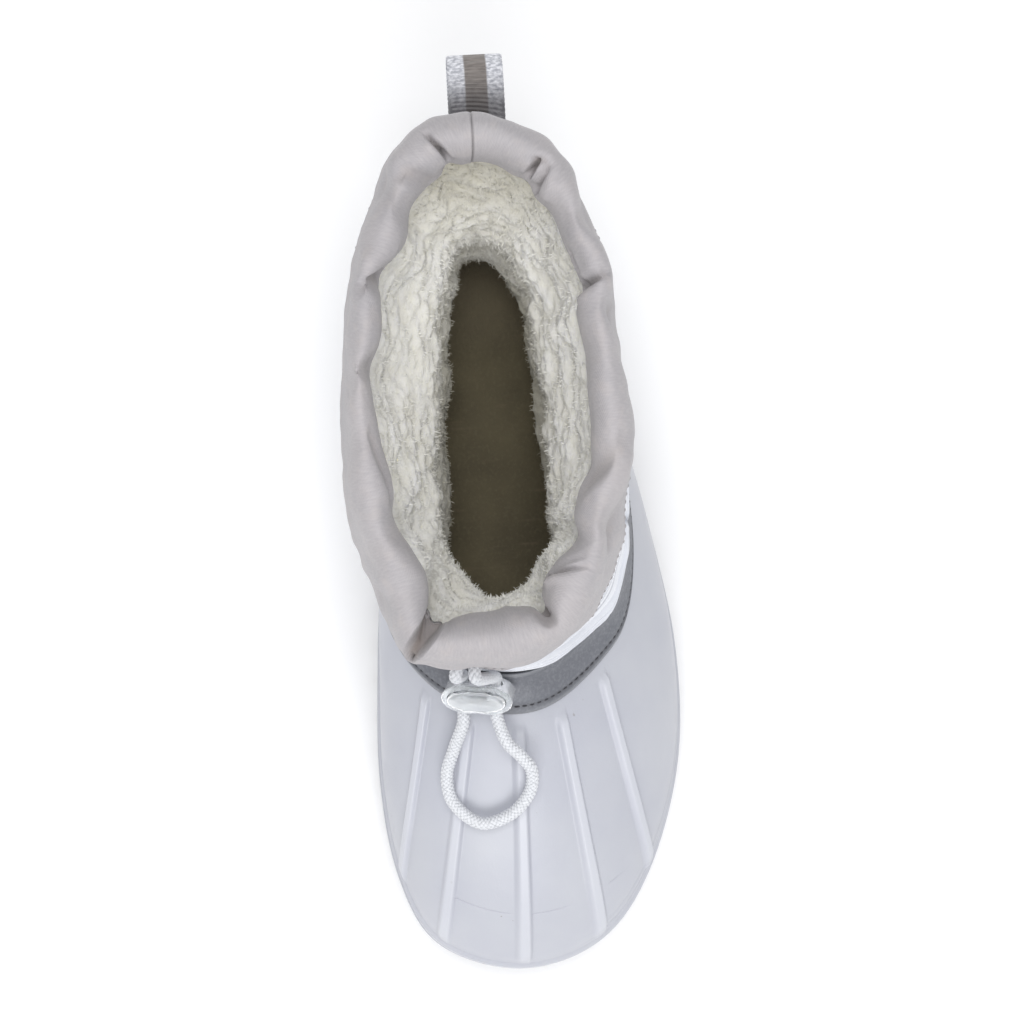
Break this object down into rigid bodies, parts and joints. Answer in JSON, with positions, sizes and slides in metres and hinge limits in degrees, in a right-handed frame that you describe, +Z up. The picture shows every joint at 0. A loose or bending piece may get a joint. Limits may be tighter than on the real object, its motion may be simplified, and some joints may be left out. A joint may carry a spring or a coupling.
{
  "type": "winter boot",
  "caption": "Low fleece-lined winter boot for the left foot: ribbed moulded shell on a lugged sole, textile shaft, gathered drawcord collar with cord lock, and a heel pull loop.",
  "frame": {"origin": "on the floor, under the middle of the heel, on the tread's flat heel land", "axes": "+X from the heel to the toe, +Y to the outer side of the left foot, +Z up"},
  "size_m": [0.3116, 0.1164, 0.1978],
  "materials": {
    "outsole": "matte moulded foam rubber",
    "shell": "smooth moulded foam, soft sheen",
    "insole": "brushed felt",
    "fleece": "curly pile",
    "shaft_cloth": "smooth coated textile, semi-gloss",
    "band": "smooth reflective trim, stitched",
    "cuff_cloth": "fine twill weave, matte",
    "tape": "ribbed woven tape with a darker middle stripe",
    "lock": "milky translucent moulding",
    "lock_button": "milky translucent moulding",
    "cord": "braided"
  },
  "bodies": {
    "boot": {"outsole": "outsole", "shell": "shell", "insole": "insole", "fleece_lining": "fleece", "shaft": "shaft_cloth", "instep_band": "band", "collar_cuff": "cuff_cloth", "pull_loop": "tape", "cord_lock_body": "lock", "drawcord": "cord"},
    "lock_button": {"cord_lock_button": "lock_button"}
  },
  "joints": [
    {"name": "lock_press", "type": "slide", "parent": "boot", "child": "lock_button", "axis": [-0.4519, 0.2495, -0.8565], "range_m": [0, 0.003], "stiffness_N_per_m": 600, "springref_m": -0.002}
  ]
}
